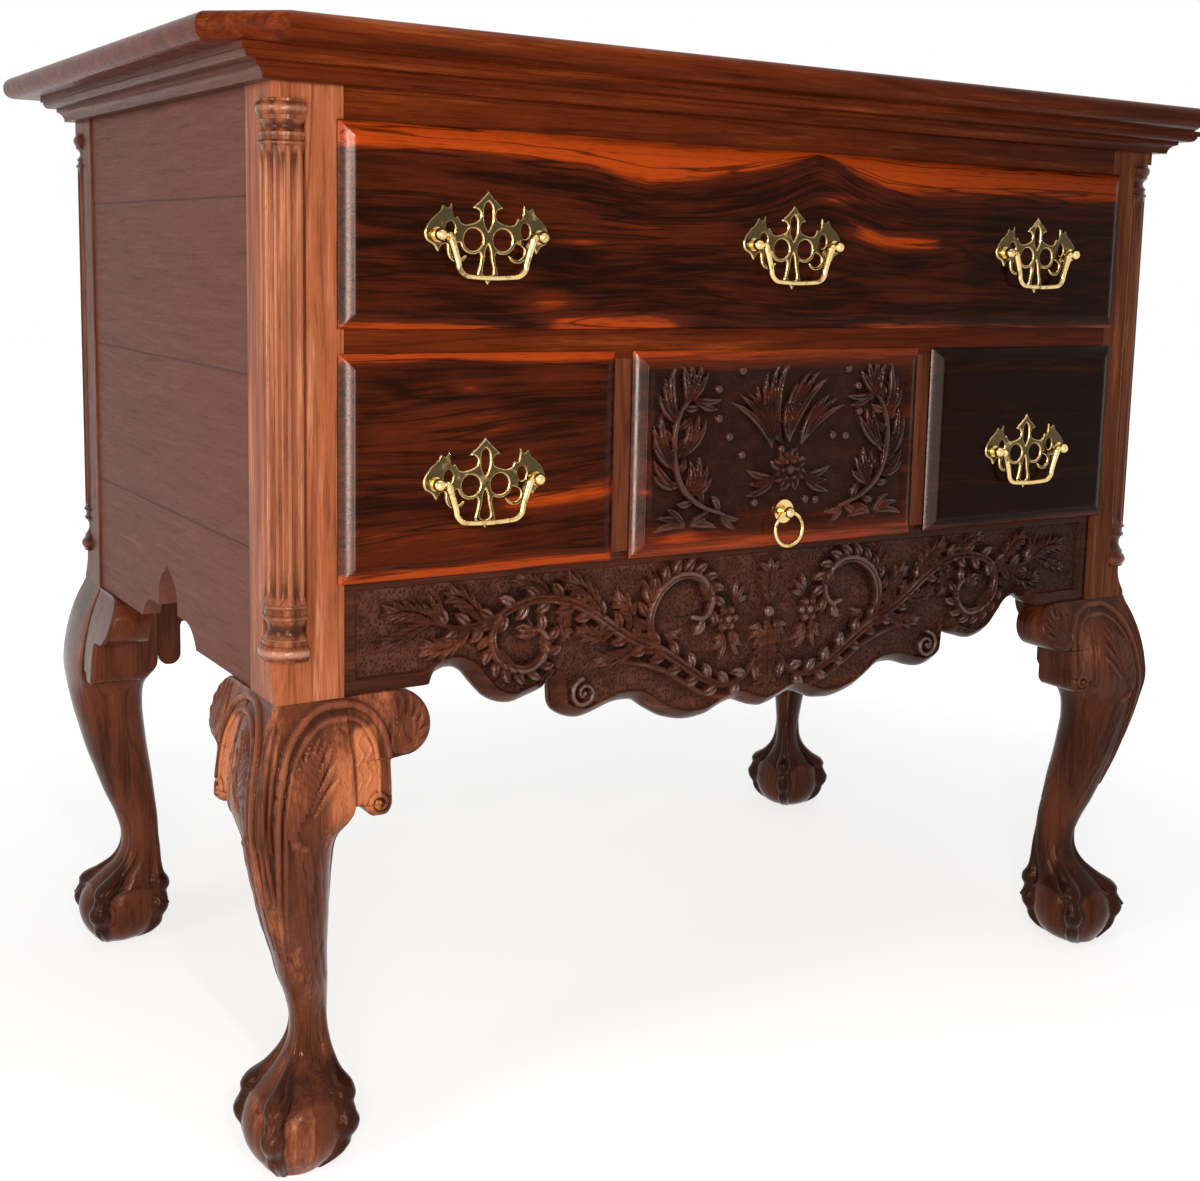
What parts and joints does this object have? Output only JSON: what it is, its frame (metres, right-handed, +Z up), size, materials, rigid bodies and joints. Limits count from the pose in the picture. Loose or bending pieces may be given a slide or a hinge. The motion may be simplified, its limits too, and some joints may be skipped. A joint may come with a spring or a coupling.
{
  "type": "lowboy",
  "caption": "Lowboy with carved cabriole legs, ball-and-claw feet, a long drawer over smaller ones, a carved scalloped apron, fluted quarter columns and swinging brass pulls.",
  "frame": {"origin": "on the floor under the middle of the whole piece, the top's overhangs counted", "axes": "+Z up, front with the drawers towards -Y, +X to the right seen from the front"},
  "size_m": [0.904, 0.566, 0.762],
  "materials": {
    "case_wood": "french-polished rosewood, orange-brown with dark streaks",
    "figured_front": "polished rosewood with strong black and red figure",
    "carved_wood": "carved and polished rosewood, dark in the hollows",
    "panel_wood": "satin purplish-brown rosewood boards",
    "plain_wood": "unpolished plain hardwood",
    "brass": "polished and lacquered brass"
  },
  "bodies": {
    "case": {"top": "case_wood", "cornice_front": "case_wood", "cornice_left": "case_wood", "cornice_right": "case_wood", "leg_front_left": "carved_wood", "leg_front_right": "carved_wood", "leg_back_left": "carved_wood", "leg_back_right": "carved_wood", "knee_blocks_front_left": "carved_wood", "knee_blocks_front_right": "carved_wood", "knee_blocks_back_left": "carved_wood", "knee_blocks_back_right": "carved_wood", "column_front_left": "case_wood", "column_front_right": "case_wood", "column_back_left": "case_wood", "column_back_right": "case_wood", "side_panel_left": "panel_wood", "side_panel_right": "panel_wood", "back_panel": "plain_wood", "back_rail": "plain_wood", "top_rail": "case_wood", "mid_rail": "case_wood", "divider_left": "case_wood", "divider_right": "case_wood", "apron": "carved_wood", "upper_runners": "plain_wood", "lower_side_runners": "plain_wood", "lower_centre_runners": "plain_wood", "kicker_rails": "plain_wood", "glue_blocks": "plain_wood"},
    "upper_drawer": {"upper_drawer_front": "figured_front", "upper_drawer_sides": "plain_wood", "upper_drawer_back": "plain_wood", "upper_drawer_bottom": "plain_wood", "upper_plates": "brass", "upper_posts": "brass"},
    "left_drawer": {"left_drawer_front": "figured_front", "left_drawer_sides": "plain_wood", "left_drawer_back": "plain_wood", "left_drawer_bottom": "plain_wood", "left_plate": "brass", "left_posts": "brass"},
    "middle_drawer": {"middle_drawer_front": "figured_front", "middle_drawer_sides": "plain_wood", "middle_drawer_back": "plain_wood", "middle_drawer_bottom": "plain_wood", "ring_post": "brass"},
    "right_drawer": {"right_drawer_front": "figured_front", "right_drawer_sides": "plain_wood", "right_drawer_back": "plain_wood", "right_drawer_bottom": "plain_wood", "right_plate": "brass", "right_posts": "brass"},
    "upper_left_pull": {"upper_left_bail": "brass"},
    "upper_middle_pull": {"upper_middle_bail": "brass"},
    "upper_right_pull": {"upper_right_bail": "brass"},
    "left_pull": {"left_bail": "brass"},
    "right_pull": {"right_bail": "brass"},
    "ring_pull": {"ring": "brass"}
  },
  "joints": [
    {"name": "upper_drawer_slide", "type": "slide", "parent": "case", "child": "upper_drawer", "axis": [0, -1, 0], "range_m": [0, 0.3]},
    {"name": "left_drawer_slide", "type": "slide", "parent": "case", "child": "left_drawer", "axis": [0, -1, 0], "range_m": [0, 0.3]},
    {"name": "middle_drawer_slide", "type": "slide", "parent": "case", "child": "middle_drawer", "axis": [0, -1, 0], "range_m": [0, 0.3]},
    {"name": "right_drawer_slide", "type": "slide", "parent": "case", "child": "right_drawer", "axis": [0, -1, 0], "range_m": [0, 0.3]},
    {"name": "upper_left_bail_swing", "type": "hinge", "parent": "upper_drawer", "child": "upper_left_pull", "pos_m": [-0.257, -0.2501, 0.6345], "axis": [-1, 0, 0], "range_deg": [0, 80]},
    {"name": "upper_middle_bail_swing", "type": "hinge", "parent": "upper_drawer", "child": "upper_middle_pull", "pos_m": [0, -0.2501, 0.6345], "axis": [-1, 0, 0], "range_deg": [0, 80]},
    {"name": "upper_right_bail_swing", "type": "hinge", "parent": "upper_drawer", "child": "upper_right_pull", "pos_m": [0.257, -0.2501, 0.6345], "axis": [-1, 0, 0], "range_deg": [0, 80]},
    {"name": "left_bail_swing", "type": "hinge", "parent": "left_drawer", "child": "left_pull", "pos_m": [-0.257, -0.2501, 0.47], "axis": [-1, 0, 0], "range_deg": [0, 80]},
    {"name": "right_bail_swing", "type": "hinge", "parent": "right_drawer", "child": "right_pull", "pos_m": [0.257, -0.2501, 0.47], "axis": [-1, 0, 0], "range_deg": [0, 80]},
    {"name": "ring_swing", "type": "hinge", "parent": "middle_drawer", "child": "ring_pull", "pos_m": [0, -0.2501, 0.433], "axis": [-1, 0, 0], "range_deg": [0, 80]}
  ]
}
